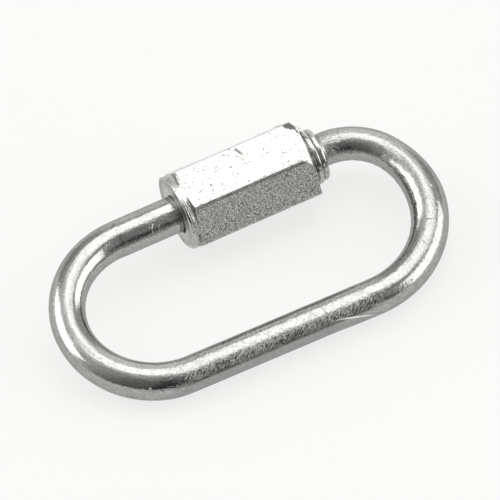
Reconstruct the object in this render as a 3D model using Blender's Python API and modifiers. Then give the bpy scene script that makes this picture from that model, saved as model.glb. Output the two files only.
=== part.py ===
"""Oval quick link: a round zinc-plated steel rod bent into a closed-up
racetrack, with a gap in one long leg that a hexagonal sleeve nut bridges.

Two pieces:
  link_body   the bent rod, with a reduced threaded end on each side of the gap
  sleeve_nut  the hexagonal nut, turned down at both ends, with a stepped bore

Link frame, used while modelling: X runs along the nut's axis, Y lies in the
plane of the bent rod, Z is normal to that plane. X = 0 is where the left bend
meets the nut's leg, and Y = 0 is the nut's axis. The link then hangs under an
empty that lays it on the floor plane Z = 0, on the nut's lower corner and on
the opposite leg, centred over the world origin.
"""

import math

import bmesh
import bpy
from mathutils import Matrix, Vector

MM = 0.001

# ------------------------------------------------------------ dimensions, mm
# bent rod
BEND_L_R = 8.17          # centre-line radius of the left bend
BEND_R1_R = 5.97         # right bend, tighter first part next to the nut
BEND_R1_DEG = 61.2       # angle of that first part
LEG_SPLAY_DEG = 0.75     # the plain leg runs away from the nut's leg to the right
PLAIN_LEG = 18.83        # length of the plain leg
NUT_LEG = 21.58          # from the left bend to the right bend, gap included
ROD_SIDES = 32

# section radius of the drawn and bent rod, a little uneven round the link
ROD_R_NECK = 1.61        # where the rod leaves the nut on the right
ROD_R_RIGHT = 1.82       # swollen middle of the right bend
ROD_R_LEG = 1.78         # plain leg
ROD_R_LOWER_LEFT = 1.82  # where the plain leg turns into the left bend
ROD_R_LEFT = 1.74        # middle of the left bend
ROD_R_UPPER = 1.80       # nut's leg, left of the nut

# flat pressed on the outer side of the plain leg, turned a little downward; at
# the right it ends in a short ramp, at the left the rod bends away from it
LEG_FLAT_DEPTH = 0.33
LEG_FLAT_TURN_DEG = 9.0
LEG_FLAT_RAMP = 14.6     # the ramp begins here, along X
LEG_FLAT_END = 18.2      # and leaves the rod here

# threaded ends, drawn as plain cylinders at about the pitch diameter
THREAD_R = 1.53
LEFT_END = 15.03         # face of the left rod end, inside the nut
RIGHT_END = 19.03        # face of the right rod end; the gap lies between
LEFT_RUNOUT = 6.34       # full rod up to here, thread from LEFT_RUNOUT + RUNOUT
RIGHT_RUNOUT = 21.14     # thread up to here, rod again RUNOUT further on
RUNOUT = 0.26
END_CHAMFER = 0.20

# sleeve nut, positions along X
NUT_FACE_L = 6.20        # left end face
NUT_FLAT_L = 7.04        # flats begin, in the middle of a side
NUT_HEX_L = 7.24         # corners of the hexagon begin
NUT_HEX_R = 18.76        # corners of the hexagon end
NUT_FLAT_R = 19.47       # flats end, in the middle of a side
NUT_NECK = 19.86         # root of the turned neck
NUT_FACE_R = 21.05       # end face of the neck
NUT_AF = 7.36            # across flats
NUT_EDGE = 0.08          # rounding of the six long edges
NUT_ROLL_DEG = 2.0       # turn of the hexagon about X, top flat towards -Y
NUT_TURN_R = 3.73        # turned left end, the flats just graze it
NUT_NOSE = 0.18          # rounding of its rim
NUT_NECK_R1 = 2.74       # first ring of the neck
NUT_NECK_R2 = 2.60       # second ring of the neck
NUT_BORE_PLAIN_R = 2.00  # plain bore that slides over the rod
NUT_BORE_PLAIN_END = 12.78
NUT_BORE_THREAD_R = 1.66
NUT_STEPS = 60

NUT_TRAVEL = 6.10        # the nut runs this far to the left when opened


# ----------------------------------------------------------------- utilities
def clear_objects():
    for obj in list(bpy.data.objects):
        bpy.data.objects.remove(obj, do_unlink=True)


def new_collection(name):
    coll = bpy.data.collections.get(name) or bpy.data.collections.new(name)
    if coll.name not in {c.name for c in bpy.context.scene.collection.children}:
        bpy.context.scene.collection.children.link(coll)
    return coll


def metal(name, color, roughness):
    mat = bpy.data.materials.new(name)
    mat.use_nodes = True
    bsdf = mat.node_tree.nodes["Principled BSDF"]
    bsdf.inputs["Base Color"].default_value = (*color, 1.0)
    bsdf.inputs["Metallic"].default_value = 1.0
    bsdf.inputs["Roughness"].default_value = roughness
    mat.diffuse_color = (*color, 1.0)
    return mat


def add_object(name, data, coll):
    obj = bpy.data.objects.new(name, data)
    coll.objects.link(obj)
    return obj


def mark_cutter(obj):
    obj.hide_render = True
    obj.display_type = "WIRE"


def boolean(obj, other, operation):
    mod = obj.modifiers.new(other.name, "BOOLEAN")
    mod.operation = operation
    mod.solver = "EXACT"
    mod.object = other
    return mod


# ------------------------------------------------------------- the bent rod
def arc(start, heading, radius, turn, step):
    """Points along an arc that turns clockwise from start, without start."""
    cx = start[0] + radius * math.sin(heading)
    cy = start[1] - radius * math.cos(heading)
    count = max(2, round(turn / step))
    pts = []
    for i in range(1, count + 1):
        a = heading - turn * i / count
        pts.append((cx - radius * math.sin(a), cy + radius * math.cos(a)))
    return pts, heading - turn


def straight(start, heading, length, count):
    return [
        (
            start[0] + length * i / count * math.cos(heading),
            start[1] + length * i / count * math.sin(heading),
        )
        for i in range(1, count + 1)
    ]


def right_bend_second_radius():
    """Radius that brings the second arc down to the plain leg."""
    d = math.radians(LEG_SPLAY_DEG)
    a = math.radians(BEND_R1_DEG)
    drop = BEND_L_R * (1 + math.cos(d)) + PLAIN_LEG * math.sin(d)
    return (drop - BEND_R1_R * (1 - math.cos(a))) / (math.cos(a) + math.cos(d))


def rod_path():
    """Centre line from the right rod end round to the left one: (x, y, r)."""
    splay = math.radians(LEG_SPLAY_DEG)
    first = math.radians(BEND_R1_DEG)
    r2 = right_bend_second_radius()
    step = math.radians(5.5)

    right = [(NUT_LEG, 0.0)]
    pts, h = arc(right[-1], 0.0, BEND_R1_R, first, step)
    right += pts
    pts, h = arc(right[-1], h, r2, math.pi + splay - first, step)
    right += pts
    leg = straight(right[-1], h, PLAIN_LEG, 8)
    left, h = arc(leg[-1], h, BEND_L_R, math.pi - splay, step)
    body = right + leg + left

    # distance along the body, for the section radius
    s = [0.0]
    for a, b in zip(body, body[1:]):
        s.append(s[-1] + math.dist(a, b))
    s_right = s[len(right) - 1]
    s_leg = s[len(right) + len(leg) - 1]
    s_left = s[-1]
    stations = [
        (0.0, ROD_R_NECK),
        (0.24 * s_right, ROD_R_NECK),
        (0.50 * s_right, ROD_R_RIGHT),
        (0.80 * s_right, ROD_R_LEG),
        (s_leg - 0.5, ROD_R_LEG),
        (s_leg + 0.20 * (s_left - s_leg), ROD_R_LOWER_LEFT),
        (s_leg + 0.50 * (s_left - s_leg), ROD_R_LEFT),
        (s_left, ROD_R_UPPER - 0.02),
    ]

    def radius(d):
        for (d0, r0), (d1, r1) in zip(stations, stations[1:]):
            if d <= d1:
                t = (d - d0) / (d1 - d0)
                t = t * t * (3 - 2 * t)
                return r0 + (r1 - r0) * t
        return stations[-1][1]

    path = [
        (RIGHT_END, 0.0, THREAD_R - END_CHAMFER),
        (RIGHT_END + END_CHAMFER, 0.0, THREAD_R),
        (RIGHT_RUNOUT, 0.0, THREAD_R),
        (RIGHT_RUNOUT + RUNOUT, 0.0, ROD_R_NECK),
    ]
    path += [(x, y, radius(d)) for (x, y), d in zip(body, s)]
    path += [
        (0.5 * LEFT_RUNOUT, 0.0, ROD_R_UPPER),
        (LEFT_RUNOUT, 0.0, ROD_R_UPPER),
        (LEFT_RUNOUT + RUNOUT, 0.0, THREAD_R),
        (LEFT_END - END_CHAMFER, 0.0, THREAD_R),
        (LEFT_END, 0.0, THREAD_R - END_CHAMFER),
    ]
    return path


def build_link_body(coll, cutters, mat):
    curve = bpy.data.curves.new("rod_line", "CURVE")
    curve.dimensions = "3D"
    curve.twist_mode = "Z_UP"
    curve.bevel_depth = ROD_R_LEG * MM
    curve.bevel_resolution = ROD_SIDES // 2 - 2
    curve.use_fill_caps = True
    spline = curve.splines.new("POLY")
    path = rod_path()
    spline.points.add(len(path) - 1)
    for point, (x, y, r) in zip(spline.points, path):
        point.co = (x * MM, y * MM, 0.0, 1.0)
        point.radius = r / ROD_R_LEG
    rod = add_object("rod_line", curve, coll)

    # the curve becomes a mesh, so that the flat can be cut
    bpy.context.view_layer.update()
    graph = bpy.context.evaluated_depsgraph_get()
    mesh = bpy.data.meshes.new_from_object(rod.evaluated_get(graph), depsgraph=graph)
    mesh.name = "link_body"
    bm = bmesh.new()
    bm.from_mesh(mesh)
    bmesh.ops.remove_doubles(bm, verts=bm.verts, dist=1e-6)
    bmesh.ops.recalc_face_normals(bm, faces=bm.faces)
    bm.to_mesh(mesh)
    bm.free()
    body = add_object("link_body", mesh, coll)
    body.matrix_world = rod.matrix_world.copy()
    bpy.data.objects.remove(rod, do_unlink=True)
    mesh.materials.clear()
    mesh.materials.append(mat)

    # pressed flat: a slab that bites into the outer side of the plain leg. Its
    # profile is drawn along the leg and across the cut, then pulled through
    # the rod; local Y = 0 is the leg's centre line
    splay = math.radians(LEG_SPLAY_DEG)
    near = LEG_FLAT_DEPTH - ROD_R_LEG
    slope = LEG_FLAT_DEPTH / (LEG_FLAT_END - LEG_FLAT_RAMP)
    over = 0.5
    outline = [
        (-0.3 * PLAIN_LEG, near),
        (LEG_FLAT_RAMP, near),
        (LEG_FLAT_END + over, -ROD_R_LEG - slope * over),
        (LEG_FLAT_END + over, -ROD_R_LEG - 2.0),
        (-0.3 * PLAIN_LEG, -ROD_R_LEG - 2.0),
    ]
    bm = bmesh.new()
    corners = [bm.verts.new((x * MM, y * MM, -3.0 * MM)) for x, y in outline]
    side = bm.faces.new(corners)
    pulled = bmesh.ops.extrude_face_region(bm, geom=[side])
    moved = [g for g in pulled["geom"] if isinstance(g, bmesh.types.BMVert)]
    bmesh.ops.translate(bm, vec=(0.0, 0.0, 6.0 * MM), verts=moved)
    bmesh.ops.recalc_face_normals(bm, faces=bm.faces)
    slab_mesh = bpy.data.meshes.new("leg_flat_cutter")
    bm.to_mesh(slab_mesh)
    bm.free()
    slab = add_object("leg_flat_cutter", slab_mesh, cutters)
    slab.location = (0.0, -BEND_L_R * (1 + math.cos(splay)) * MM, 0.0)
    slab.rotation_euler = (math.radians(LEG_FLAT_TURN_DEG), 0.0, -splay)
    mark_cutter(slab)
    boolean(body, slab, "DIFFERENCE")
    return body, slab


# --------------------------------------------------------------- sleeve nut
def turned(name, profile, coll, steps=NUT_STEPS):
    """Solid of revolution about its own Z from (radius, height) points in mm
    that run from the axis at the top, down the outer side, to the axis."""
    mesh = bpy.data.meshes.new(name)
    bm = bmesh.new()
    verts = [bm.verts.new((r * MM, 0.0, z * MM)) for r, z in profile]
    for a, b in zip(verts, verts[1:]):
        bm.edges.new((a, b))
    bm.to_mesh(mesh)
    bm.free()
    obj = add_object(name, mesh, coll)
    screw = obj.modifiers.new("turn", "SCREW")
    screw.axis = "Z"
    screw.angle = 2 * math.pi
    screw.steps = steps
    screw.render_steps = steps
    screw.use_merge_vertices = True
    screw.merge_threshold = 0.000001
    screw.use_normal_calculate = False
    return obj


def rounded_ring(x0, x1, r, bulge, n=4):
    """Profile of a turned ring between x0 and x1 with rounded shoulders."""
    pts = []
    for i in range(n + 1):
        a = math.pi / 2 * i / n
        pts.append((r - bulge * (1 - math.sin(a)), x0 + bulge * (1 - math.cos(a))))
    for i in range(n + 1):
        a = math.pi / 2 * i / n
        pts.append((r - bulge * (1 - math.cos(a)), x1 - bulge * (1 - math.sin(a))))
    return pts


def nut_outline():
    """Turned outline of the nut from left to right: (radius, x)."""
    flat = NUT_AF / 2
    corner = NUT_AF / math.sqrt(3)
    pts = [(0.0, NUT_FACE_L)]
    # rim with a rounded edge, a scribed line behind it, a ring, a flat trough
    for i in range(5):
        a = math.pi / 2 * i / 4
        pts.append((
            NUT_TURN_R - NUT_NOSE * (1 - math.sin(a)),
            NUT_FACE_L + NUT_NOSE * (1 - math.cos(a)),
        ))
    scribe = NUT_FACE_L + NUT_NOSE + 0.02
    pts.append((NUT_TURN_R - 0.035, scribe))
    pts += rounded_ring(scribe + 0.02, scribe + 0.28, NUT_TURN_R, 0.03, 1)
    pts.append((NUT_TURN_R - 0.07, scribe + 0.34))
    pts.append((NUT_TURN_R - 0.06, NUT_FLAT_L - 0.10))
    # short chamfer from the turned end out to the corners of the hexagon
    slope = (NUT_HEX_L - NUT_FLAT_L) / (corner - flat)
    pts.append((flat, NUT_FLAT_L))
    pts.append((corner + 0.3, NUT_HEX_L + 0.3 * slope))
    # rounded chamfer from the corners in to the shoulder, then down to the neck
    fall = NUT_FLAT_R - NUT_HEX_R
    pts.append((corner + 0.3, NUT_HEX_R - 0.3 * 1.5 * fall / (corner - flat)))
    for t in (1.0, 0.7, 0.35, 0.0):
        pts.append((flat + t * (corner - flat), NUT_FLAT_R - fall * t ** 1.7))
    pts.append((flat - 0.19, NUT_FLAT_R + 0.07))
    pts.append((NUT_NECK_R1 - 0.16, NUT_NECK))
    # neck: two rounded rings with a fine groove between them
    mid = NUT_NECK + 0.57
    pts += rounded_ring(NUT_NECK + 0.03, mid, NUT_NECK_R1, 0.15, 3)
    pts += rounded_ring(mid + 0.03, NUT_FACE_R, NUT_NECK_R2, 0.24, 4)
    pts.append((0.0, NUT_FACE_R))
    return pts


def build_sleeve_nut(coll, cutters, mat):
    mid = 0.5 * (NUT_FACE_L + NUT_FACE_R)

    # the turned blank: local +Z points to the nut's left end, so the profile
    # runs from the top down
    blank = turned("sleeve_nut", [(r, mid - x) for r, x in nut_outline()], coll)
    blank.data.materials.append(mat)

    # six flats
    corner = NUT_AF / math.sqrt(3)
    bm = bmesh.new()
    bmesh.ops.create_cone(
        bm,
        cap_ends=True,
        segments=6,
        radius1=corner * MM,
        radius2=corner * MM,
        depth=(NUT_FACE_R - NUT_FACE_L + 2.0) * MM,
    )
    long_edges = [
        e for e in bm.edges if abs(e.verts[0].co.z - e.verts[1].co.z) > 1.0 * MM
    ]
    bmesh.ops.bevel(
        bm,
        geom=long_edges,
        offset=NUT_EDGE * MM,
        offset_type="OFFSET",
        segments=3,
        profile=0.5,
        affect="EDGES",
    )
    prism_mesh = bpy.data.meshes.new("hexagon_cutter")
    bm.to_mesh(prism_mesh)
    bm.free()
    prism = add_object("hexagon_cutter", prism_mesh, cutters)
    mark_cutter(prism)
    boolean(blank, prism, "INTERSECT")

    # stepped bore with countersunk mouths: plain on the left, threaded right
    bore = turned(
        "nut_bore_cutter",
        [
            (0.0, mid - NUT_FACE_L + 1.0),
            (NUT_BORE_PLAIN_R + 0.18, mid - NUT_FACE_L + 1.0),
            (NUT_BORE_PLAIN_R + 0.18, mid - NUT_FACE_L),
            (NUT_BORE_PLAIN_R, mid - NUT_FACE_L - 0.18),
            (NUT_BORE_PLAIN_R, mid - NUT_BORE_PLAIN_END),
            (NUT_BORE_THREAD_R, mid - NUT_BORE_PLAIN_END - 0.20),
            (NUT_BORE_THREAD_R, mid - NUT_FACE_R + 0.22),
            (NUT_BORE_THREAD_R + 0.22, mid - NUT_FACE_R),
            (NUT_BORE_THREAD_R + 0.22, mid - NUT_FACE_R - 1.0),
            (0.0, mid - NUT_FACE_R - 1.0),
        ],
        cutters,
        48,
    )
    mark_cutter(bore)
    boolean(blank, bore, "DIFFERENCE")

    # local Z lies along -X of the link frame. The prism has corners on local
    # +Y and -Y, so one flat faces up, and the roll then turns it a little.
    turn = Matrix.Rotation(math.radians(-90), 4, "Y")
    roll = Matrix.Rotation(math.radians(NUT_ROLL_DEG), 4, "X")
    place = Matrix.Translation(Vector((mid, 0.0, 0.0)) * MM) @ roll @ turn
    return blank, [prism, bore], place


# ----------------------------------------------------------------- assembly
def evaluated_points(obj):
    graph = bpy.context.evaluated_depsgraph_get()
    ev = obj.evaluated_get(graph)
    mesh = ev.to_mesh()
    pts = [obj.matrix_world @ v.co for v in mesh.vertices]
    ev.to_mesh_clear()
    return pts


def rest_tilt(nut_pts, rod_pts):
    """Tilt about X that brings the nut and the plain leg to one level."""

    def low(pts, a):
        return min(p.y * math.sin(a) + p.z * math.cos(a) for p in pts)

    lo, hi = 0.0, math.radians(20)
    for _ in range(40):
        a = 0.5 * (lo + hi)
        if low(nut_pts, a) < low(rod_pts, a):
            lo = a
        else:
            hi = a
    return 0.5 * (lo + hi)


def main():
    clear_objects()
    coll = new_collection("chain_quick_link")
    cutters = new_collection("cutters")

    zinc_rod = metal("zinc_rod", (0.70, 0.71, 0.72), 0.25)
    zinc_nut = metal("zinc_nut", (0.74, 0.75, 0.75), 0.38)

    body, slab = build_link_body(coll, cutters, zinc_rod)
    nut, nut_tools, place = build_sleeve_nut(coll, cutters, zinc_nut)

    # everything hangs under one empty; the cutters move with their pieces
    frame = add_object("link_frame", None, coll)
    for obj in (body, slab):
        obj.parent = frame
    nut.parent = frame
    nut.matrix_basis = place
    for tool in nut_tools:
        tool.parent = frame
        tool.matrix_basis = place

    bpy.context.view_layer.update()
    rod_pts = evaluated_points(body)
    nut_pts = evaluated_points(nut)
    tilt = rest_tilt(nut_pts, rod_pts)
    frame.rotation_euler = (tilt, 0.0, 0.0)
    bpy.context.view_layer.update()
    pts = evaluated_points(body) + evaluated_points(nut)
    lo = [min(p[i] for p in pts) for i in range(3)]
    hi = [max(p[i] for p in pts) for i in range(3)]
    frame.location = (-0.5 * (lo[0] + hi[0]), -0.5 * (lo[1] + hi[1]), -lo[2])
    bpy.context.view_layer.update()

    for obj in (body, nut):
        obj.data.shade_smooth()
        obj.data.set_sharp_from_angle(angle=math.radians(32))


main()
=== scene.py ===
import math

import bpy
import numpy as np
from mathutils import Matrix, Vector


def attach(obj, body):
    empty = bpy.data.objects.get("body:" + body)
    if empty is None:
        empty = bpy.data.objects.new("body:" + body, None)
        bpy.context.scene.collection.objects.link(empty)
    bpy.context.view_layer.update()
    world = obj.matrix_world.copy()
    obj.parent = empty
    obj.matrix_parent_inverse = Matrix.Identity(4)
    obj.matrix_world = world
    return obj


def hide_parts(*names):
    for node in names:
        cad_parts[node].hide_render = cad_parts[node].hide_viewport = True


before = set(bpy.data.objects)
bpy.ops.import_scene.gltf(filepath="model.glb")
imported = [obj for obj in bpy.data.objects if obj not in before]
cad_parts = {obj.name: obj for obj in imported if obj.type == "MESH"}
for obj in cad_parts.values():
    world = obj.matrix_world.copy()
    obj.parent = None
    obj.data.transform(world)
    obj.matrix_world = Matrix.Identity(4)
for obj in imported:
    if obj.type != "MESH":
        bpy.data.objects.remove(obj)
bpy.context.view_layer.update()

# Oval quick link of zinc-plated steel: a bent rod and a hexagonal sleeve nut.
#
# Shapes are worked out in millimetres in the link's own frame: X along the
# nut's axis, Y in the plane of the bent rod and away from the plain leg, Z
# normal to that plane. to_row() lays the link down on the floor.

scene = bpy.context.scene

MM = 0.001
TILT = math.radians(7.59806)
PLACE = np.array([-9.9033, 7.0237, 3.9694])

# bent rod
BEND_L_R = 8.17
BEND_R1_R = 5.97
BEND_R1 = math.radians(61.2)
SPLAY = math.radians(0.75)
PLAIN_LEG = 18.83
NUT_LEG = 21.58
R_NECK, R_RIGHT, R_LEG = 1.61, 1.82, 1.78
R_LOW_LEFT, R_LEFT, R_UPPER = 1.82, 1.74, 1.80

# flat pressed on the plain leg
FLAT_DEPTH = 0.33
FLAT_TURN = math.radians(9.0)
FLAT_RAMP, FLAT_END = 14.6, 18.2

# thread on the rod ends and in the nut
PITCH = 0.61
CREST, ROOT = 1.70, 1.36
NUT_CREST, NUT_ROOT = 1.42, 1.76
LEFT_END, RIGHT_END = 15.03, 19.03
LEFT_RUN, RIGHT_RUN = 6.34, 21.14

# sleeve nut
FACE_L, HEX_L, NECK, FACE_R = 6.29, 7.24, 19.86, 21.05
AF = 7.36
CORNER = AF / math.sqrt(3)
ROLL = math.radians(2.0)
EDGE = 0.12
TURN_R, NECK_R1, NECK_R2 = 3.73, 2.70, 2.56
SHOULDER = 19.47
BORE, BORE_END = 1.89, 12.78

RINGS = 132


# ------------------------------------------------------------------- helpers
def smooth(t):
    t = np.clip(t, 0.0, 1.0)
    return t * t * (3 - 2 * t)


def ramp(v, a, b):
    return smooth((v - a) / (b - a))


def soft_min(a, b, k):
    """Lower of a and b, with the corner between them rounded over about k."""
    return 0.5 * (a + b - np.sqrt((a - b) ** 2 + k * k))


def lattice(ix, iy, iz, seed):
    h = (
        ix.astype(np.uint32) * np.uint32(374761393)
        + iy.astype(np.uint32) * np.uint32(668265263)
        + iz.astype(np.uint32) * np.uint32(2147483647)
        + np.uint32(seed * 974634777 % 4294967296)
    )
    h = (h ^ (h >> np.uint32(13))) * np.uint32(1274126177)
    h = (h ^ (h >> np.uint32(16))) * np.uint32(2246822519)
    h = h ^ (h >> np.uint32(15))
    return h.astype(np.float64) / 4294967295.0 * 2 - 1


def relief(p, seed):
    """Smooth noise between about -1 and 1 at the points p, one cell a unit."""
    f = np.floor(p)
    i = f.astype(np.int64) & 0xFFFFFFFF
    t = p - f
    t = t * t * t * (t * (t * 6 - 15) + 10)
    out = 0.0
    for dx in (0, 1):
        for dy in (0, 1):
            for dz in (0, 1):
                w = (
                    (t[..., 0] if dx else 1 - t[..., 0])
                    * (t[..., 1] if dy else 1 - t[..., 1])
                    * (t[..., 2] if dz else 1 - t[..., 2])
                )
                out = out + w * lattice(
                    i[..., 0] + dx, i[..., 1] + dy, i[..., 2] + dz, seed
                )
    return out


def to_row(p):
    """Points in the link's frame, mm, to the row frame, metres."""
    c, s = math.cos(TILT), math.sin(TILT)
    out = np.empty_like(p)
    out[..., 0] = p[..., 0]
    out[..., 1] = p[..., 1] * c - p[..., 2] * s
    out[..., 2] = p[..., 1] * s + p[..., 2] * c
    return (out + PLACE) * MM


def grid_mesh(name, points, cyclic, layers=(), cap=False):
    """Object from points[ring, side]; sides close up, rings too if cyclic."""
    rings, sides = points.shape[:2]
    verts = to_row(points).reshape(-1, 3)
    last = rings if cyclic else rings - 1
    i = np.arange(last)[:, None]
    j = np.arange(sides)[None, :]
    a = i * sides + j
    b = i * sides + (j + 1) % sides
    c = ((i + 1) % rings) * sides + (j + 1) % sides
    d = ((i + 1) % rings) * sides + j
    quads = np.stack([a, b, c, d], -1).reshape(-1, 4)
    faces = quads.tolist()
    if cap:
        first = list(range(sides))
        end = list(range((rings - 1) * sides, rings * sides))
        faces.append(first[::-1])
        faces.append(end)
    mesh = bpy.data.meshes.new(name)
    mesh.from_pydata(verts.tolist(), [], faces)
    mesh.validate()
    for layer, kind, data in layers:
        attr = mesh.attributes.new(layer, kind, "POINT")
        if kind == "FLOAT_VECTOR":
            attr.data.foreach_set("vector", np.ascontiguousarray(data, np.float32).reshape(-1))
        else:
            attr.data.foreach_set("value", np.ascontiguousarray(data, np.float32).reshape(-1))
    obj = bpy.data.objects.new(name, mesh)
    scene.collection.objects.link(obj)
    mesh.shade_smooth()
    return obj


# ------------------------------------------------------------- bent rod line
def arc(start, heading, radius, turn, step):
    cx = start[0] + radius * math.sin(heading)
    cy = start[1] - radius * math.cos(heading)
    n = max(2, round(radius * turn / step))
    out = []
    for i in range(1, n + 1):
        a = heading - turn * i / n
        out.append((cx - radius * math.sin(a), cy + radius * math.cos(a), a))
    return out, heading - turn


def line(start, heading, length, step):
    n = max(1, round(length / step))
    return [
        (
            start[0] + length * i / n * math.cos(heading),
            start[1] + length * i / n * math.sin(heading),
            heading,
        )
        for i in range(1, n + 1)
    ]


def rod_line():
    """x, y, heading, base radius, distance and thread share along the rod."""
    drop = BEND_L_R * (1 + math.cos(SPLAY)) + PLAIN_LEG * math.sin(SPLAY)
    r2 = (drop - BEND_R1_R * (1 - math.cos(BEND_R1))) / (
        math.cos(BEND_R1) + math.cos(SPLAY)
    )
    step = 0.20
    right = [(NUT_LEG, 0.0, 0.0)]
    pts, h = arc(right[-1], 0.0, BEND_R1_R, BEND_R1, step)
    right += pts
    pts, h = arc(right[-1], h, r2, math.pi + SPLAY - BEND_R1, step)
    right += pts
    leg = line(right[-1], h, PLAIN_LEG, step)
    left, h = arc(leg[-1], h, BEND_L_R, math.pi - SPLAY, step)
    body = right + leg + left
    s = [0.0]
    for a, b in zip(body, body[1:]):
        s.append(s[-1] + math.dist(a[:2], b[:2]))
    s_right, s_leg, s_left = s[len(right) - 1], s[len(right) + len(leg) - 1], s[-1]
    stations = [
        (0.0, R_NECK),
        (0.24 * s_right, R_NECK),
        (0.50 * s_right, R_RIGHT),
        (0.80 * s_right, R_LEG),
        (s_leg - 0.5, R_LEG),
        (s_leg + 0.20 * (s_left - s_leg), R_LOW_LEFT),
        (s_leg + 0.50 * (s_left - s_leg), R_LEFT),
        (s_left, R_UPPER - 0.02),
    ]

    def radius(d):
        for (d0, ra), (d1, rb) in zip(stations, stations[1:]):
            if d <= d1:
                t = (d - d0) / (d1 - d0)
                return ra + (rb - ra) * t * t * (3 - 2 * t)
        return stations[-1][1]

    rows = []
    # right threaded end, from its face to the run-out
    fine = PITCH / 12
    x = RIGHT_END
    while x < RIGHT_RUN - 1e-6:
        rows.append((x, 0.0, 0.0, R_NECK, x - NUT_LEG, 1.0))
        x += fine
    for x in (RIGHT_RUN, RIGHT_RUN + 0.06, RIGHT_RUN + 0.12, RIGHT_RUN + 0.18, RIGHT_RUN + 0.26, RIGHT_RUN + 0.34):
        t = min(1.0, max(0.0, (x - RIGHT_RUN) / 0.26))
        rows.append((x, 0.0, 0.0, R_NECK, x - NUT_LEG, 1.0 - t))
    rows += [(x, y, h, radius(d), d, 0.0) for (x, y, h), d in zip(body, s)]
    end = s[-1]
    n = round(LEFT_RUN / step)
    for i in range(1, n + 1):
        x = LEFT_RUN * i / n
        rows.append((x, 0.0, 0.0, R_UPPER, end + x, 0.0))
    for x in (LEFT_RUN + 0.06, LEFT_RUN + 0.12, LEFT_RUN + 0.18, LEFT_RUN + 0.26):
        rows.append((x, 0.0, 0.0, R_UPPER, end + x, (x - LEFT_RUN) / 0.26))
    x = LEFT_RUN + 0.26 + fine
    while x < LEFT_END - 1e-6:
        rows.append((x, 0.0, 0.0, R_UPPER, end + x, 1.0))
        x += fine
    rows.append((LEFT_END, 0.0, 0.0, R_UPPER, end + LEFT_END, 1.0))
    return np.array(rows), s_right, s_leg, s_left


def thread_wave(x, theta):
    """0 at the root, 1 at the crest of a right-hand thread along X."""
    f = (x / PITCH - theta / (2 * math.pi)) % 1.0
    t = 1 - np.abs(2 * f - 1)
    return np.clip(t * 1.45 - 0.22, 0.0, 1.0)


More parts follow.
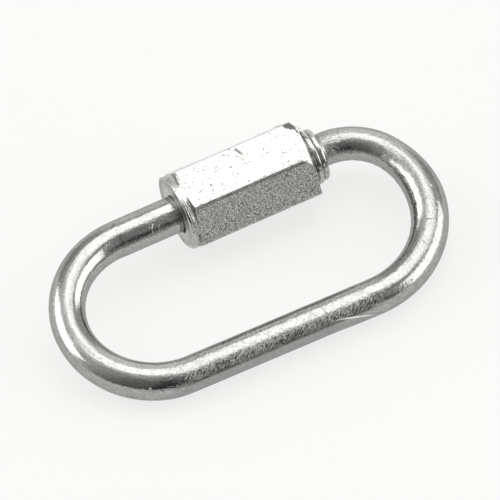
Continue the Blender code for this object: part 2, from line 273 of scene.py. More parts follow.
def build_rod():
    rows, s_right, s_leg, s_left = rod_line()
    x, y, h, base, s, thr = (rows[:, k][:, None] for k in range(6))
    th = (np.arange(RINGS) / RINGS * 2 * math.pi)[None, :]
    ct, st = np.cos(th), np.sin(th)

    # straightened coordinates of every point, mm
    flat_pos = np.stack(np.broadcast_arrays(s, 1.75 * ct, 1.75 * st), -1)

    # shallow waves left by drawing and bending, a few microns deep
    wave = 0.5 * relief(flat_pos * np.array([0.55, 0.9, 0.9]), 3)
    wave = wave + 0.32 * relief(flat_pos * np.array([1.2, 1.9, 1.9]) + 7.3, 4)
    wave = wave + 0.14 * relief(flat_pos * np.array([2.2, 3.6, 3.6]) + 1.7, 5)
    depth = 0.010 + 0.012 * ramp(s, 0.80 * s_right, s_right + 3) * (
        1 - ramp(s, s_leg - 4, s_leg + 4)
    )
    r = base - 0.006 + depth * (wave - 0.9)

    # wrinkle on the inner side of the tight bend, stretch on its outer side
    tight = ramp(s, 0.5, 3.0) * (1 - ramp(s, 0.62 * s_right, 0.8 * s_right))
    r = r - 0.02 * tight * ramp(-ct, 0.2, 1.0) * (0.5 + 0.5 * np.sin(s * 5.2 + 0.8 * np.sin(s * 1.7)))

    # threads at both ends
    wave_t = ROOT + (CREST - ROOT) * thread_wave(x, np.arctan2(st, ct) % (2 * math.pi))
    end_cut = np.where(x > 17.5, x - RIGHT_END, LEFT_END - x)
    wave_t = np.minimum(wave_t, ROOT - 0.04 + np.clip(end_cut, 0, 9) * 1.0)
    plain = np.where((s < 0) | (s > s_left), 1.0, 0.0)
    r = r * (1 - thr * plain) + wave_t * thr * plain

    # pressed flat on the plain leg
    p0 = np.array([0.0, -BEND_L_R * (1 + math.cos(SPLAY))])
    along = (x - p0[0]) * math.cos(SPLAY) - (y - p0[1]) * math.sin(SPLAY)
    across = -(x - p0[0]) * math.sin(SPLAY) - (y - p0[1]) * math.cos(SPLAY)
    # components of each side's direction along the leg and along its outside
    nx, ny = -np.sin(h), np.cos(h)
    d_along = ct * (nx * math.cos(SPLAY) - ny * math.sin(SPLAY))
    d_out = ct * (-nx * math.sin(SPLAY) - ny * math.cos(SPLAY))
    on_leg = y + 0 * th < -6.0
    toward = d_out * math.cos(FLAT_TURN) - st * math.sin(FLAT_TURN)
    base_off = across * math.cos(FLAT_TURN)
    at = along + r * d_along
    limit = R_LEG - FLAT_DEPTH + FLAT_DEPTH / (FLAT_END - FLAT_RAMP) * np.clip(at - FLAT_RAMP, 0.0, 9.0)
    limit = limit + np.where(at > FLAT_END, 9.0 * (at - FLAT_END), 0.0)
    cut = np.where(
        on_leg & (toward > 0.3) & (at < FLAT_END + 1.5),
        (limit - base_off) / np.maximum(toward, 0.3),
        99.0,
    )
    pressed = np.clip((r - cut) / 0.08, 0.0, 1.0)
    r = np.where(cut < r + 0.5, soft_min(r, cut, 0.050), r)

    pts = np.empty(r.shape + (3,))
    pts[..., 0] = x + r * ct * nx
    pts[..., 1] = y + r * ct * ny
    pts[..., 2] = r * st

    straight = np.stack(np.broadcast_arrays(s, r * ct, r * st), -1)
    scuff = (
        0.11
        + 0.89 * ramp(s, 0.86 * s_right, s_right + 3.0) * (1 - ramp(s, s_leg - 1.0, s_leg + 6.0))
        + 0.45 * (1 - ramp(s, 1.0, 4.2))
        + 0.13 * (1 - ramp(s, 0.8 * s_right, s_right))
    )
    deg = np.degrees(th)
    local = ramp(s, s_left - 3.0, s_left - 0.8) * ramp(deg, 92.0, 108.0) * (1 - ramp(deg, 150.0, 162.0))
    leg = ramp(s, s_right - 1.0, s_right + 2.0) * (1 - ramp(s, s_leg - 1.0, s_leg + 4.0))
    # the plain leg is rubbed along its lower half, and cleaner above
    scuff = scuff * (1 - 0.62 * leg * ramp(deg, 66.0, 80.0)) + 0.34 * local
    rubbed = np.broadcast_to(leg * ramp(deg, 32.0, 48.0) * (1 - ramp(deg, 64.0, 76.0)), r.shape)
    # painted reflection: a thin dark line painted below it, where the rubbed part ends, and a fainter one painted
    # along the rod's upper end into the nut
    painted_dark_line = leg * np.exp(-(((deg - 32.5) / 6.0) ** 2))
    painted_dark_line = painted_dark_line + 0.5 * ramp(s, s_left - 4.0, s_left - 1.0) * np.exp(-(((deg - 143.0) / 8.0) ** 2))
    painted_dark_line = np.broadcast_to(painted_dark_line, r.shape)
    dull = np.broadcast_to((1 - ramp(s, 0.5, 2.1)) * (1 - thr), r.shape)
    worn = np.broadcast_to(thr * plain, r.shape)
    turn = (np.degrees(th) + 120.0) % 360.0 - 120.0
    turn = np.broadcast_to(1.76 * np.radians(turn), r.shape)
    obj = grid_mesh(
        "bent_rod",
        pts,
        False,
        layers=(
            ("along", "FLOAT_VECTOR", straight),
            ("scuff", "FLOAT", np.clip(scuff, 0, 1)),
            ("thread", "FLOAT", worn),
            ("dull", "FLOAT", dull),
            ("rubbed", "FLOAT", rubbed),
            ("painted_dark_line", "FLOAT", painted_dark_line),
            ("turn", "FLOAT", turn),
            ("pressed", "FLOAT", pressed),
        ),
        cap=True,
    )
    return obj, (s_right, s_leg, s_left)


# ---------------------------------------------------------------- sleeve nut
def around(theta_deg, knots):
    """Smooth periodic value round the nut through (degrees, value) knots."""
    k = sorted(knots)
    a = np.array([k[-1][0] - 360] + [q[0] for q in k] + [k[0][0] + 360], float)
    v = np.array([k[-1][1]] + [q[1] for q in k] + [k[0][1]], float)
    t = np.mod(theta_deg - a[1], 360) + a[1]
    i = np.clip(np.searchsorted(a, t, side="right") - 1, 0, len(a) - 2)
    w = smooth((t - a[i]) / (a[i + 1] - a[i]))
    return v[i] * (1 - w) + v[i + 1] * w


def build_nut():
    # phi: degrees from the link's normal towards the plain leg
    sector = np.concatenate(
        [
            np.arange(0.0, 1.8, 0.26),
            np.arange(1.9, 6.0, 0.9),
            np.arange(6.4, 30.0, 2.4),
        ]
    )
    half = np.unique(np.round(np.concatenate([sector, [30.0]]), 4))
    one = np.unique(np.round(np.concatenate([half, 60.0 - half]), 4))[:-1]
    phi = np.concatenate([32.0 + 60 * k + one for k in range(6)])
    phi_r = np.radians(phi)
    phi_side = (phi + 180.0) % 360.0 - 180.0
    sides = len(phi)

    # hexagon with rounded corners
    rel = np.radians((phi - 2.0 + 30.0) % 60.0 - 30.0)
    hexr = (AF / 2) / np.cos(rel)
    gap = np.radians(30.0) - np.abs(rel)
    # circle of radius EDGE set into each corner
    centre = CORNER - EDGE / math.cos(math.radians(30))
    disc = EDGE**2 - (centre * np.sin(gap)) ** 2
    round_r = np.where(disc > 0, centre * np.cos(gap) + np.sqrt(np.maximum(disc, 0)), 99)
    edge_on = gap < math.atan(EDGE * math.sin(math.radians(30)) / (centre + EDGE * math.cos(math.radians(30))))
    hexr = np.where(edge_on, np.minimum(hexr, round_r), hexr)

    # how long the right-hand chamfer is at each corner, and how round the edge
    # of the left ring is: both are uneven round the nut
    chamfer = around(phi, [(-88, 1.00), (-58, 1.15), (-28, 1.15), (2, 0.80), (32, 1.05), (46, 1.20), (62, 0.75), (78, 0.18), (92, 0.03), (152, 0.35), (212, 0.80)])
    trough = around(phi, [(-58, 0.5), (-28, 0.25), (2, 0.03), (24, 0.15), (40, 0.85), (62, 1.0), (100, 0.9), (122, 0.55), (182, 0.6), (240, 0.7)])
    slant = around(phi, [(-88, 0.16), (-28, 0.22), (2, 0.14), (32, 0.12), (62, 0.13), (92, 0.34), (122, 0.2), (212, 0.2)])
    nose = around(phi, [(-58, 0.07), (2, 0.08), (32, 0.13), (62, 0.24), (92, 0.40), (122, 0.46), (182, 0.26), (240, 0.10)])

    xs, rs, kind, off = [], [], [], []

    def row(x, r, what, shift=0.0):
        xs.append(np.broadcast_to(np.asarray(x, float), (sides,)).copy())
        rs.append(np.broadcast_to(np.asarray(r, float), (sides,)).copy())
        kind.append(what)
        off.append(shift)

    # kinds: 1 turned, 0 hexagon, 2 end faces, 3 bore
    mouth = BORE + 0.05
    steps = np.linspace(0.0, 1.0, 11)[:-1]
    for t in steps:
        row(FACE_L, mouth + 0.02 + (TURN_R - nose - mouth - 0.02) * t, 2, 1 - t)
    for a in np.linspace(0.0, math.pi / 2, 9):
        row(FACE_L + nose * (1 - math.cos(a)), TURN_R - nose * (1 - math.sin(a)), 1)
    # turned zone: a scribed line behind the rim, then a shallow trough that
    # fades out over the upper flat, then the slope up to the corners
    first = FACE_L + nose + 0.01
    for t in np.linspace(0.0, 1.0, 44):
        x = first + (7.09 - first) * t
        down = ramp(t, 0.46, 0.74) * (1 - ramp(t, 0.80, 0.97))
        beads = max(0.0, 1 - ((t - 0.13) / 0.12) ** 2) + max(0.0, 1 - ((t - 0.40) / 0.13) ** 2)
        lines = math.exp(-(((t - 0.265) / 0.032) ** 2)) + 0.8 * math.exp(-(((t - 0.555) / 0.034) ** 2))
        row(x, TURN_R - 0.022 - trough * 0.080 * down + (0.35 + 0.65 * trough) * (0.020 * beads - 0.032 * lines), 1)
    span = CORNER - AF / 2
    for r in np.linspace(AF / 2 + 0.004, CORNER + 0.04, 18):
        row(HEX_L - slant * (1 - (r - AF / 2) / span), r, 1)
    left_x = HEX_L + slant * 0.04 / span + 0.03
    right_x = SHOULDER - chamfer * (1 + 0.12 / span)
    shares = np.unique(np.round(np.concatenate([np.linspace(0.0, 1.0, 56), np.linspace(0.51, 0.59, 12)]), 5))
    for t in shares:
        row(left_x + (right_x - left_x) * t, CORNER + 0.12, 0)
    for r in np.linspace(CORNER + 0.06, AF / 2, 30):
        row(SHOULDER - chamfer * ((r - AF / 2) / span) ** 1.7, r, 1)
    for t in (0.15, 0.4, 0.7, 1.0):
        row(SHOULDER + 0.02 + 0.05 * t, AF / 2 - 0.03 - 0.16 * t, 1)
    for t in np.linspace(0.15, 1.0, 8):
        r = AF / 2 - 0.19 + (NECK_R1 - 0.12 - AF / 2 + 0.19) * t
        row(SHOULDER + 0.07 + (NECK - SHOULDER - 0.07) * t, r, 1, t)
    # neck: two rounded rings with a groove between them
    xr = NECK
    row(xr + 0.02, NECK_R1 - 0.14, 1, 1)
    for a in np.linspace(0.15, math.pi / 2, 6):
        row(xr + 0.03 + 0.15 * (1 - math.cos(a)), NECK_R1 - 0.14 * (1 - math.sin(a)), 1, 1)
    mid = NECK + 0.57
    for t in (0.35, 0.7):
        row(xr + 0.18 + (mid - 0.16 - xr - 0.18) * t, NECK_R1, 1, 1)
    for a in np.linspace(0.0, math.pi / 2, 6):
        row(mid - 0.16 + 0.16 * math.sin(a), NECK_R1 - 0.17 * (1 - math.cos(a)), 1, 1)
    row(mid + 0.015, NECK_R1 - 0.25, 1, 1)
    row(mid + 0.035, NECK_R1 - 0.26, 1, 1)
    for a in np.linspace(0.1, math.pi / 2, 5):
        row(mid + 0.05 + 0.10 * (1 - math.cos(a)), NECK_R2 - 0.10 * (1 - math.sin(a)), 1, 1)
    row(mid + 0.24, NECK_R2, 1, 1)
    for a in np.linspace(0.0, math.pi / 2, 9):
        row(FACE_R - 0.26 + 0.26 * math.sin(a), NECK_R2 - 0.24 * (1 - math.cos(a)), 1, 1)
    mouth_r = 1.84
    for t in np.linspace(0.0, 1.0, 5)[1:]:
        row(FACE_R, NECK_R2 - 0.24 - (NECK_R2 - 0.24 - mouth_r) * t, 2, 1 - t)
    # threaded bore, run back to the left
    fine = PITCH / 9
    theta = (math.pi / 2 + phi_r) % (2 * math.pi)
    x = FACE_R - 0.14
    while x > BORE_END + 0.20:
        wave = NUT_CREST + (NUT_ROOT - NUT_CREST) * thread_wave(x, theta)
        opened = mouth_r - (FACE_R - x) * 1.0
        r = np.maximum(wave, opened)
        fade = float(np.clip((x - BORE_END - 0.2) / 0.4, 0, 1))
        row(x, r * fade + max(NUT_CREST + 0.1, 1.60) * (1 - fade), 3)
        x -= fine
    row(BORE_END + 0.16, 1.62, 3)
    row(BORE_END, BORE, 3, 1)
    for t in (0.25, 0.5, 0.75):
        row(BORE_END + (FACE_L + 0.07 - BORE_END) * t, BORE, 3, 1)
    row(FACE_L + 0.06, BORE, 3, 1)
    row(FACE_L + 0.03, BORE + 0.02, 3, 1)
    row(FACE_L + 0.01, mouth, 3, 1)

    xs, rs = np.array(xs), np.array(rs)
    kind = np.array(kind)[:, None]
    # the neck and the plain bore sit a little low against the hexagon
    off = np.array(off, float)[:, None] * np.where(xs > 13, 0.18, 0.09)
    drop = np.array([math.cos(math.radians(209)), math.sin(math.radians(209))])
    outer = kind <= 1
    nominal = rs.copy()
    cut = soft_min(rs, np.broadcast_to(hexr, rs.shape), 0.018)
    rs = np.where(outer, cut, rs)

    # on the far upper side the shoulder was not cut clean: a fillet runs from
    # it down over the first ring
    fillet = np.interp(xs, [19.30, 19.47, 19.65, 20.05, 20.45, 20.9], [3.66, 3.66, 3.43, 2.95, 2.50, 1.2])
    fillet = fillet + off * np.cos(np.radians(phi + 61.0))
    reach = ramp(phi_side, -92.0, -84.0) * (1 - ramp(phi_side, -35.0, -30.5))
    lift = np.where((kind == 1) & (xs > 19.3), np.maximum(fillet - rs, 0.0) * reach, 0.0)
    rs = rs + lift

    # share of forged flat, against turned surface
    flat_share = np.where(outer, smooth((nominal - hexr) / 0.05 + 0.5), 0.0)
    grainy = flat_share * smooth((np.degrees(gap) - 1.1) / 1.3)

    # shallow hollows in the flats and a nick across the upper far edge
    pos = np.stack([xs, -rs * np.sin(phi_r), rs * np.cos(phi_r)], -1)
    hollow = relief(pos * np.array([0.7, 0.8, 0.8]), 21) * 0.5 + relief(pos * 1.7 + 3.1, 22) * 0.3
    hollow = hollow + relief(pos * 4.0 + 1.3, 23) * 0.22
    rs = rs - flat_share * 0.010 * (1.6 + hollow)
    # the far edge is worn down towards the right
    rs = rs - flat_share * 0.09 * ramp(xs, 8.0, 13.5) * np.exp(-((phi_side + 88.0) / 9.0) ** 2)
    # a nick that runs in from the upper far edge, dents along the near edge
    side = (AF / 2) * np.tan(np.radians(np.clip(phi_side - 2.0, -32.0, 32.0)))
    u = (xs - 13.56) * 0.355 + (side + 1.48) * 0.935
    v = (xs - 13.56) * 0.935 - (side + 1.48) * 0.355
    nick = np.exp(-((u / 0.52) ** 4) - (v / 0.085) ** 2)
    rs = rs - flat_share * 0.11 * nick
    for x0, a0, size, depth in ((10.55, 34.0, 0.15, 0.045), (14.9, 31.4, 0.22, 0.035), (17.2, 33.0, 0.16, 0.035), (8.7, 31.6, 0.18, 0.03), (11.9, 92.4, 0.2, 0.035), (16.1, 91.6, 0.24, 0.03), (12.6, -28.4, 0.2, 0.03), (16.4, -27.6, 0.25, 0.04)):
        reach = ((xs - x0) / size) ** 2 + (np.radians(phi_side - a0) * CORNER / (0.7 * size)) ** 2
        rs = rs - flat_share * depth * np.exp(-reach)
    turned = np.where(kind == 1, 1.0, 0.0)
    rs = rs - turned * (1 - flat_share) * 0.010 * (1 + relief(pos * np.array([1.5, 1.5, 1.5]) + 9.1, 24))
    ripple = 0.5 + 0.5 * np.sin(xs * 2 * math.pi / 0.34 + 0.7 * relief(pos * 0.9 + 4.0, 25))
    rs = rs - turned * (1 - flat_share) * 0.026 * ripple * ramp(xs, 18.2, 18.6) * (1 - ramp(xs, 19.7, 19.8))
    # painted reflection: a dark line painted on the flat just below the upper near corner edge, where that rounded
    # edge reflects dark; then a flaked strip near the neck, and darker colour along the nick
    stain_and_painted_shade = np.exp(-(((phi_side - 34.9) / 1.75) ** 2)) * (0.80 + 0.30 * relief(pos * 1.6 + 2.2, 26))
    stain_and_painted_shade = np.where(outer & (xs > 7.1) & (xs < 19.0), stain_and_painted_shade, 0.0)
    flake = 18.05 + 1.35 * ramp(phi_side, -34.0, -8.0) + 0.22 * relief(pos * 3.4 + 5.7, 27)
    flake = ramp(xs, flake, flake + 0.10) * ramp(phi_side, -95.0, -88.0) * (1 - ramp(phi_side, -12.0, -6.0))
    stain_and_painted_shade = np.maximum(stain_and_painted_shade, np.where(outer & (xs < 19.6), 1.12 * flake, 0.0))
    stain_and_painted_shade = np.maximum(stain_and_painted_shade, flat_share * 0.95 * np.exp(-((u / 0.50) ** 4) - ((v + 0.03) / 0.055) ** 2))
    # the far flat and the upper flats are polished, and their colour is painted lighter: a painted highlight
    upper = ramp(phi_side, -34.0, -28.0) * (1 - ramp(phi_side, 29.0, 31.0))
    polish_and_highlight = flat_share * np.maximum(np.exp(-(((phi_side + 60.0) / 24.0) ** 4)), 0.62 * upper)

    matte = np.where((kind == 2) | ((kind == 1) & (nominal > TURN_R + 0.03) & (xs < HEX_L + 0.05)), 1.0, 0.0)
    # the band of the left ring that faces the lights: less matte, polished, and painted lighter as a painted
    # highlight
    bright = ramp(phi_side, 4.0, 18.0) * (1 - ramp(phi_side, 48.0, 57.0))
    matte = np.where(kind == 1, matte * (1 - bright), np.broadcast_to(matte, rs.shape))
    polish_and_highlight = np.maximum(polish_and_highlight, 0.8 * turned * (1 - flat_share) * bright * np.where(xs < HEX_L + 0.05, 1.0, 0.0))

    pts = np.stack(
        [xs, -rs * np.sin(phi_r) + off * drop[0], rs * np.cos(phi_r) + off * drop[1]], -1
    )
    nut_pos = pts - np.array([0.5 * (FACE_L + FACE_R), 0.0, 0.0])
    obj = grid_mesh(
        "hex_sleeve",
        pts,
        True,
        layers=(
            ("along", "FLOAT_VECTOR", nut_pos),
            ("flats", "FLOAT", grainy),
            ("radial", "FLOAT", rs),
            ("stain_and_painted_shade", "FLOAT", stain_and_painted_shade),
            ("polish_and_highlight", "FLOAT", polish_and_highlight),
            ("endface", "FLOAT", matte),
            ("bore", "FLOAT", np.broadcast_to(np.where(kind == 3, 1.0, 0.0), rs.shape)),
        ),
    )
    return obj


# ------------------------------------------------------------ node shortcuts
class Tree:
    def __init__(self, tree):
        self.tree = tree
        self.nodes = tree.nodes
        self.links = tree.links

    def put(self, socket, value):
        if isinstance(value, bpy.types.NodeSocket):
            self.links.new(value, socket)
        else:
            socket.default_value = value

    def math(self, op, a, b=None, c=None, clamp=False):
        n = self.nodes.new("ShaderNodeMath")
        n.operation = op
        n.use_clamp = clamp
        self.put(n.inputs[0], a)
        if b is not None:
            self.put(n.inputs[1], b)
        if c is not None:
            self.put(n.inputs[2], c)
        return n.outputs[0]

    def vec(self, op, a, b=None, scale=None):
        n = self.nodes.new("ShaderNodeVectorMath")
        n.operation = op
        self.put(n.inputs[0], a)
        if b is not None:
            self.put(n.inputs[1], b)
        if scale is not None:
            self.put(n.inputs["Scale"], scale)
        return n.outputs["Value"] if op in {"DOT_PRODUCT", "LENGTH", "DISTANCE"} else n.outputs["Vector"]

    def range(self, value, a, b, c=0.0, d=1.0, kind="SMOOTHSTEP"):
        n = self.nodes.new("ShaderNodeMapRange")
        n.interpolation_type = kind
        n.clamp = True
        self.put(n.inputs["Value"], value)
        for name, v in (("From Min", a), ("From Max", b), ("To Min", c), ("To Max", d)):
            self.put(n.inputs[name], v)
        return n.outputs["Result"]

    def noise(self, vector, scale, detail=2.0, rough=0.5, distort=0.0, kind="FBM"):
        n = self.nodes.new("ShaderNodeTexNoise")
        n.noise_type = kind
        self.put(n.inputs["Vector"], vector)
        self.put(n.inputs["Scale"], scale)
        self.put(n.inputs["Detail"], detail)
        self.put(n.inputs["Roughness"], rough)
        self.put(n.inputs["Distortion"], distort)
        return n.outputs["Fac"]

    def voronoi(self, vector, scale, feature="F1"):
        n = self.nodes.new("ShaderNodeTexVoronoi")
        n.feature = feature
        self.put(n.inputs["Vector"], vector)
        self.put(n.inputs["Scale"], scale)
        return n.outputs["Distance"]

    def mix(self, fac, a, b):
        n = self.nodes.new("ShaderNodeMix")
        n.data_type = "FLOAT"
        self.put(n.inputs[0], fac)
        self.put(n.inputs[2], a)
        self.put(n.inputs[3], b)
        return n.outputs[0]

    def mix_color(self, fac, a, b):
        n = self.nodes.new("ShaderNodeMix")
        n.data_type = "RGBA"
        self.put(n.inputs[0], fac)
        self.put(n.inputs[6], a)
        self.put(n.inputs[7], b)
        return n.outputs[2]

    def attr(self, name, what="Fac"):
        n = self.nodes.new("ShaderNodeAttribute")
        n.attribute_name = name
        return n.outputs[what]

    def bump(self, height, distance, strength=1.0, normal=None):
        n = self.nodes.new("ShaderNodeBump")
        self.put(n.inputs["Strength"], strength)
        self.put(n.inputs["Distance"], distance)
        self.put(n.inputs["Height"], height)
        if normal is not None:
            self.put(n.inputs["Normal"], normal)
        return n.outputs["Normal"]


def new_material(name, tint=0.7):
    mat = bpy.data.materials.new(name)
    mat.use_nodes = True
    bsdf = mat.node_tree.nodes["Principled BSDF"]
    bsdf.inputs["Metallic"].default_value = 1.0
    bsdf.inputs["Specular Tint"].default_value = (tint, tint, tint, 1.0)
    return mat, Tree(mat.node_tree), bsdf


# ----------------------------------------------------------------- materials
# small marks on the rod: distance along it, angle round it, half length, half
# width (mm), turn of the mark (degrees), bend of the mark, depth
PITS = (
    (47.2, 30, 0.11, 0.09, 0, 0.0, 1.0),
    (5.4, 76, 0.13, 0.11, 0, 0.0, 1.0),
    (22.2, 46, 0.12, 0.08, 30, 0.0, 0.9),
    (22.8, 49, 0.10, 0.08, 0, 0.0, 0.8),
    (16.0, 90, 0.38, 0.062, 74, -0.35, 1.0),
    (18.5, 87, 0.24, 0.045, -74, 0.4, 0.7),
    (20.9, 105, 0.26, 0.045, -75, 0.4, 0.7),
    (30.6, 74, 1.7, 0.05, 76, 0.05, 0.5),
    (31.9, 96, 0.8, 0.045, 66, 0.12, 0.4),
    (39.4, 52, 0.9, 0.06, -58, 0.16, 0.4),
    (38.5, 28, 0.6, 0.06, -36, -0.2, 0.4),
    (35.3, 66, 0.5, 0.06, 22, 0.3, 0.4),
    (33.2, 40, 0.35, 0.06, -18, 0.4, 0.4),
    (36.6, 84, 0.3, 0.06, 40, 0.3, 0.4),
)
# raised marks on the rod; their colour is also lifted to near-white, a painted highlight along them
NUBS_WITH_GLINTS = (
    (48.2, 38, 0.10, 0.09, 0, 0.0, 1.0),
    (73.0, 132, 0.42, 0.06, -70, 0.5, 1.2),
    (73.6, 139, 0.30, 0.05, -70, 0.6, 0.7),
    (27.9, 20.6, 2.1, 0.085, 19.5, -0.034, 1.5),
    (56.0, 60, 0.10, 0.08, 20, 0.0, 0.6),
    (12.4, 70, 0.12, 0.08, 0, 0.0, 0.6),
)


def rod_material():
    mat, t, bsdf = new_material("bright_zinc_rod")
    at = t.attr("along", "Vector")
    scuff = t.attr("scuff")
    thread = t.attr("thread")
    dull = t.attr("dull")
    rubbed = t.attr("rubbed")
    turn = t.attr("turn")
    parts = t.nodes.new("ShaderNodeSeparateXYZ")
    t.put(parts.inputs[0], at)
    run = parts.outputs[0]

    def marks(rows):
        total = None
        for s0, deg, half, wide, angle, bend, depth in rows:
            c, n = math.cos(math.radians(angle)), math.sin(math.radians(angle))
            q0 = 1.76 * math.radians(deg)
            # u along the mark, v across it
            u = t.math("MULTIPLY_ADD", run, c, t.math("MULTIPLY_ADD", turn, n, -s0 * c - q0 * n))
            v = t.math("MULTIPLY_ADD", run, -n, t.math("MULTIPLY_ADD", turn, c, s0 * n - q0 * c))
            uu = t.math("MULTIPLY", u, u)
            v = t.math("MULTIPLY_ADD", uu, -bend, v)
            far = t.math("MULTIPLY_ADD", uu, 1 / half**2, t.math("MULTIPLY", t.math("MULTIPLY", v, v), 1 / wide**2))
            m = t.range(far, 1.6, 0.1, 0.0, depth)
            total = m if total is None else t.math("MAXIMUM", total, m)
        return total

    pits, nubs_with_glints = marks(PITS), marks(NUBS_WITH_GLINTS)

    along_rod = t.vec("MULTIPLY", at, (0.55, 1.0, 1.0))
    broad = t.noise(along_rod, 0.55, 3.0, 0.6)
    patch = t.noise(along_rod, 1.6, 3.0, 0.6, 0.4)
    grain = t.noise(along_rod, 6.5, 2.0, 0.6, 0.2)
    fleck = t.noise(t.vec("MULTIPLY", at, (0.7, 1.0, 1.0)), 3.8, 2.0, 0.55, 0.6)
    # short slanting strokes, all leaning the same way
    lean_c, lean_n = math.cos(math.radians(-42)), math.sin(math.radians(-42))
    slanted = t.nodes.new("ShaderNodeCombineXYZ")
    t.put(slanted.inputs[0], t.math("MULTIPLY_ADD", run, 1.9 * lean_c, t.math("MULTIPLY", turn, 1.9 * lean_n)))
    t.put(slanted.inputs[1], t.math("MULTIPLY_ADD", run, -7.0 * lean_n, t.math("MULTIPLY", turn, 7.0 * lean_c)))
    strokes = t.noise(slanted.outputs[0], 1.0, 2.5, 0.6, 0.35)
    lines = t.noise(t.vec("MULTIPLY", at, (0.10, 1.0, 1.0)), 5.5, 3.0, 0.6)

    tone = t.math("ADD", t.math("MULTIPLY", patch, 0.35), t.math("MULTIPLY", grain, 0.65))
    colour = t.mix_color(
        t.range(tone, 0.32, 0.68), (0.30, 0.302, 0.294, 1.0), (0.45, 0.452, 0.442, 1.0)
    )
    specks = t.range(t.noise(at, 4.6, 1.0, 0.5), 0.62, 0.72, 0.0, 0.45)
    specks = t.math("MULTIPLY", specks, t.math("MULTIPLY_ADD", scuff, 0.8, 0.2))
    colour = t.mix_color(t.math("MAXIMUM", specks, t.math("MULTIPLY", pits, 0.55)), colour, (0.13, 0.13, 0.125, 1.0))
    colour = t.mix_color(t.math("MULTIPLY", rubbed, t.range(strokes, 0.55, 0.40, 0.0, 0.75)), colour, (0.10, 0.10, 0.097, 1.0))
    # painted reflection: darken the colour along the painted dark lines
    colour = t.mix_color(t.math("MULTIPLY", t.attr("painted_dark_line"), t.range(patch, 0.32, 0.6, 0.6, 0.95)), colour, (0.11, 0.11, 0.106, 1.0))
    # painted highlight: near-white glints painted on the raised marks
    colour = t.mix_color(t.math("MULTIPLY", nubs_with_glints, 0.8), colour, (0.86, 0.86, 0.85, 1.0))
    t.put(bsdf.inputs["Base Color"], colour)

    rough = t.math("ADD", t.range(patch, 0.3, 0.75, 0.05, 0.09), t.range(grain, 0.3, 0.8, 0.0, 0.05))
    rough = t.math("ADD", rough, t.math("MULTIPLY", thread, 0.08))
    rough = t.math("ADD", rough, t.math("MULTIPLY", dull, 0.16))
    rough = t.math("ADD", rough, t.math("MULTIPLY", rubbed, t.range(strokes, 0.40, 0.60, 0.05, 0.40)))
    t.put(bsdf.inputs["Roughness"], rough)

    amount = t.math("MULTIPLY", scuff, t.range(broad, 0.30, 0.54, 0.30, 1.0))
    amount = t.math("MULTIPLY", amount, t.math("MULTIPLY_ADD", rubbed, 0.7, 1.0))
    flecks = t.range(fleck, 0.52, 0.72)
    height = t.math("ADD", t.math("MULTIPLY", flecks, 0.75), t.math("MULTIPLY", grain, 0.55))
    height = t.math("MULTIPLY", t.math("ADD", height, t.math("MULTIPLY", strokes, 1.9)), amount)
    height = t.math("ADD", height, t.math("MULTIPLY", lines, 0.16))
    height = t.math("ADD", height, t.math("MULTIPLY", t.math("MULTIPLY", grain, dull), 1.4))
    height = t.math("ADD", height, t.math("MULTIPLY", pits, -1.1))
    height = t.math("ADD", height, t.math("MULTIPLY", nubs_with_glints, 1.1))
    t.put(bsdf.inputs["Normal"], t.bump(height, 0.028 * MM))
    return mat


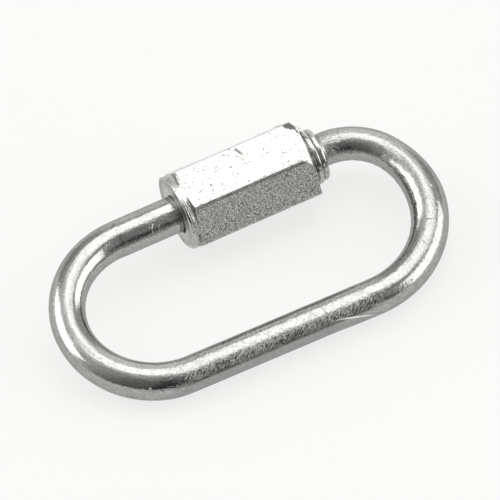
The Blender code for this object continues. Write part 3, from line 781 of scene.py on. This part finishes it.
def nut_material():
    mat, t, bsdf = new_material("bright_zinc_nut", 0.9)
    at = t.attr("along", "Vector")
    flats = t.attr("flats")
    radial = t.attr("radial")
    face = t.attr("endface")
    bore = t.attr("bore")
    stain_and_painted_shade = t.attr("stain_and_painted_shade")
    polish_and_highlight = t.attr("polish_and_highlight")

    patch = t.noise(at, 1.1, 3.0, 0.6)
    sand = t.noise(at, 4.6, 2.0, 0.65, 0.2)
    fine = t.noise(at, 11.0, 1.0, 0.6)
    ring_in = t.nodes.new("ShaderNodeCombineXYZ")
    t.put(ring_in.inputs[0], radial)
    rings = t.noise(ring_in.outputs[0], 9.0, 3.0, 0.7)
    soft = t.noise(at, 4.0, 2.0, 0.6)

    tone = t.math("ADD", t.math("MULTIPLY", patch, 0.25), t.math("MULTIPLY", sand, 0.75))
    flat_colour = t.mix_color(t.range(tone, 0.33, 0.66), (0.31, 0.312, 0.303, 1), (0.53, 0.532, 0.52, 1))
    turned_colour = t.mix_color(t.range(soft, 0.3, 0.7), (0.42, 0.422, 0.412, 1), (0.52, 0.522, 0.51, 1))
    face_colour = t.mix_color(t.range(t.noise(at, 1.4, 3.0, 0.65), 0.36, 0.64), (0.30, 0.301, 0.294, 1), (0.47, 0.472, 0.461, 1))
    # painted reflection: the end face is painted lighter towards the bore, where the rod's highlight shows in it
    face_colour = t.mix_color(t.range(radial, 3.1, 2.4), face_colour, (0.56, 0.56, 0.55, 1))
    turned_colour = t.mix_color(face, turned_colour, face_colour)
    colour = t.mix_color(flats, turned_colour, flat_colour)
    # painted highlight: where polished, the colour is lifted towards near-white
    colour = t.mix_color(t.math("MULTIPLY", polish_and_highlight, 0.9), colour, (0.78, 0.78, 0.77, 1))
    crumbs = t.noise(t.vec("MULTIPLY", at, (0.75, 1.0, 1.0)), 5.0, 2.0, 0.6, 0.5)
    crumbs = t.math("MULTIPLY", t.range(crumbs, 0.53, 0.665, 0.0, 0.86), t.range(patch, 0.42, 0.56, 0.20, 1.0))
    colour = t.mix_color(crumbs, colour, (0.12, 0.12, 0.117, 1))
    # painted reflection and real marks: darken the colour along the painted dark line, the flaked strip and the nick
    colour = t.mix_color(t.math("MULTIPLY", stain_and_painted_shade, 0.85), colour, (0.10, 0.10, 0.096, 1))
    colour = t.mix_color(t.math("MULTIPLY", bore, 0.6), colour, (0.30, 0.30, 0.29, 1))
    t.put(bsdf.inputs["Base Color"], colour)

    flat_rough = t.range(sand, 0.3, 0.75, 0.14, 0.24)
    turned_rough = t.range(soft, 0.3, 0.75, 0.08, 0.16)
    rough = t.mix(flats, turned_rough, flat_rough)
    rough = t.math("ADD", rough, t.math("MULTIPLY", face, 0.24))
    rough = t.math("MULTIPLY", rough, t.math("MULTIPLY_ADD", polish_and_highlight, -0.7, 1.0))
    t.put(bsdf.inputs["Roughness"], rough)

    sand_h = t.math("ADD", t.range(sand, 0.36, 0.64), t.math("MULTIPLY", fine, 0.25))
    height = t.math("MULTIPLY", sand_h, t.math("MULTIPLY", flats, t.math("MULTIPLY_ADD", polish_and_highlight, -0.9, 1.0)))
    height = t.math("ADD", height, t.math("MULTIPLY", t.math("MULTIPLY", rings, face), 1.5))
    height = t.math("ADD", height, t.math("MULTIPLY", t.math("MULTIPLY", soft, t.math("SUBTRACT", 1.0, flats)), 0.40))
    t.put(bsdf.inputs["Normal"], t.bump(height, 0.040 * MM))
    return mat


def floor_material():
    mat, t, bsdf = new_material("pale_floor")
    bsdf.inputs["Metallic"].default_value = 0.0
    bsdf.inputs["Roughness"].default_value = 0.9
    bsdf.inputs["Specular IOR Level"].default_value = 0.1
    tex = t.nodes.new("ShaderNodeTexCoord")
    n = t.noise(tex.outputs["Object"], 6.0, 2.0, 0.5)
    t.put(bsdf.inputs["Base Color"], t.mix_color(n, (0.160, 0.161, 0.160, 1), (0.168, 0.168, 0.167, 1)))
    bsdf.inputs["Emission Color"].default_value = (1.0, 1.0, 0.99, 1.0)
    bsdf.inputs["Emission Strength"].default_value = 0.76
    return mat


# -------------------------------------------------------------------- studio
def direction(az, el):
    """Unit vector; azimuth from +Y towards +X, elevation above the floor."""
    a, e = math.radians(az), math.radians(el)
    return Vector((math.sin(a) * math.cos(e), math.cos(a) * math.cos(e), math.sin(e)))


def studio():
    world = bpy.data.worlds.new("soft_studio")
    scene.world = world
    world.use_nodes = True
    t = Tree(world.node_tree)
    t.nodes.clear()
    d = t.nodes.new("ShaderNodeTexCoord").outputs["Generated"]
    d = t.vec("NORMALIZE", d)

    def disc(az, el, inner, outer):
        v = t.vec("DOT_PRODUCT", d, tuple(direction(az, el)))
        return t.range(v, math.cos(math.radians(outer)), math.cos(math.radians(inner)))

    def panel(az, el, half_w, half_h, edge, turn=0.0):
        c = direction(az, el)
        right = direction(az + 90, 0)
        up = right.cross(c)
        rot = Matrix.Rotation(math.radians(turn), 3, c)
        right, up = rot @ right, rot @ up
        depth = t.vec("DOT_PRODUCT", d, tuple(c))
        safe = t.math("MAXIMUM", depth, 0.05)
        u = t.math("ABSOLUTE", t.math("DIVIDE", t.vec("DOT_PRODUCT", d, tuple(right)), safe))
        v = t.math("ABSOLUTE", t.math("DIVIDE", t.vec("DOT_PRODUCT", d, tuple(up)), safe))
        tw, thh = math.tan(math.radians(half_w)), math.tan(math.radians(half_h))
        te = math.tan(math.radians(edge))
        fu = t.range(u, tw + te, max(tw - te, 0.0))
        fv = t.range(v, thh + te, max(thh - te, 0.0))
        front = t.range(depth, 0.05, 0.15)
        return t.math("MULTIPLY", t.math("MULTIPLY", fu, fv), front)

    # room: dark in front, paler behind
    to_back = t.vec("DOT_PRODUCT", d, tuple(direction(-6, 14)))
    light = t.range(to_back, -0.45, 0.52, 0.05, 1.30)
    height = t.vec("DOT_PRODUCT", d, (0.0, 0.0, 1.0))

    def over(fac, value):
        nonlocal light
        light = t.mix(fac, light, value)

    # walls and shelves: soft darker and paler patches
    over(t.math("MULTIPLY", disc(-16, 40, 23, 30), 0.9), 0.60)
    over(t.math("MULTIPLY", disc(86, 15, 29, 44), 0.9), 0.32)
    over(t.math("MULTIPLY", disc(-117, 39, 30, 42), 0.55), 0.36)
    over(t.math("MULTIPLY", disc(90, 62, 12, 21), 0.9), 2.1)
    over(t.math("MULTIPLY", disc(150, 66, 18, 33), 0.25), 0.90)
    over(t.math("MULTIPLY", disc(-28, 65, 15, 24), 0.93), 1.15)
    over(t.math("MULTIPLY", disc(150, 27, 22, 42), 1.0), 0.12)
    over(t.math("MULTIPLY", disc(-5, 16, 3, 23), 0.75), 0.36)
    # overhead light and two side softboxes
    over(t.math("MULTIPLY", panel(46, 70, 25, 19, 5, 9), 0.9), 2.8)
    over(t.math("MULTIPLY", disc(-11, 62, 3, 16), 0.75), 0.85)
    over(t.math("MULTIPLY", panel(110, 38, 48, 31, 15, 8), 0.35), 1.1)
    over(panel(-54, 27, 25, 18, 4.5, -19), 3.0)
    over(panel(113, 14, 29, 27, 5, -10), 2.8)
    # the far edge of the table, a thin darker line
    over(t.math("MULTIPLY", t.range(height, 0.055, 0.035), 0.55), 0.50)
    over(t.range(height, 0.005, -0.005), 0.95)

    path = t.nodes.new("ShaderNodeLightPath")
    seen = t.mix(path.outputs["Is Camera Ray"], light, 0.94)
    tint = t.nodes.new("ShaderNodeCombineColor")
    for k, s in enumerate((1.0, 1.0, 0.985)):
        t.put(tint.inputs[k], t.math("MULTIPLY", seen, s))
    bg = t.nodes.new("ShaderNodeBackground")
    t.put(bg.inputs["Color"], tint.outputs[0])
    out = t.nodes.new("ShaderNodeOutputWorld")
    t.links.new(bg.outputs[0], out.inputs["Surface"])


def floor():
    mesh = bpy.data.meshes.new("floor")
    size = 1.6
    n = 8
    verts = [(-size + 2 * size * i / n, -size + 2 * size * j / n, 0.0) for j in range(n + 1) for i in range(n + 1)]
    faces = [
        (j * (n + 1) + i, j * (n + 1) + i + 1, (j + 1) * (n + 1) + i + 1, (j + 1) * (n + 1) + i)
        for j in range(n)
        for i in range(n)
    ]
    mesh.from_pydata(verts, [], faces)
    obj = bpy.data.objects.new("floor", mesh)
    scene.collection.objects.link(obj)
    mesh.materials.append(floor_material())


def camera():
    data = bpy.data.cameras.new("camera")
    cam = bpy.data.objects.new("camera", data)
    scene.collection.objects.link(cam)
    data.type = "ORTHO"
    data.sensor_fit = "AUTO"
    data.ortho_scale = 500 / 10.7245 * MM
    data.clip_start, data.clip_end = 0.01, 5.0
    # seen from the front left, above, with the camera leaning a little
    az, el, roll = math.radians(-20.088), math.radians(51.666), math.radians(-7.583)
    back = Vector((math.sin(az) * math.cos(el), -math.cos(az) * math.cos(el), math.sin(el)))
    target = Vector((0.9549, 0.9576, 2.300)) * MM
    turn = (-back).to_track_quat("-Z", "Y").to_matrix()
    turn = turn @ Matrix.Rotation(roll, 3, "Z")
    cam.matrix_world = Matrix.Translation(target + back * 0.30) @ turn.to_4x4()
    scene.camera = cam


# ------------------------------------------------------------------ assembly
rod, _ = build_rod()
rod.data.materials.append(rod_material())
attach(rod, "link")
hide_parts("link_body")

nut = build_nut()
nut.data.materials.append(nut_material())
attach(nut, "nut")
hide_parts("sleeve_nut")

for obj, angle in ((rod, 40), (nut, 38)):
    obj.data.set_sharp_from_angle(angle=math.radians(angle))

studio()
floor()
camera()
scene.view_settings.view_transform = "Standard"

bpy.context.view_layer.update()
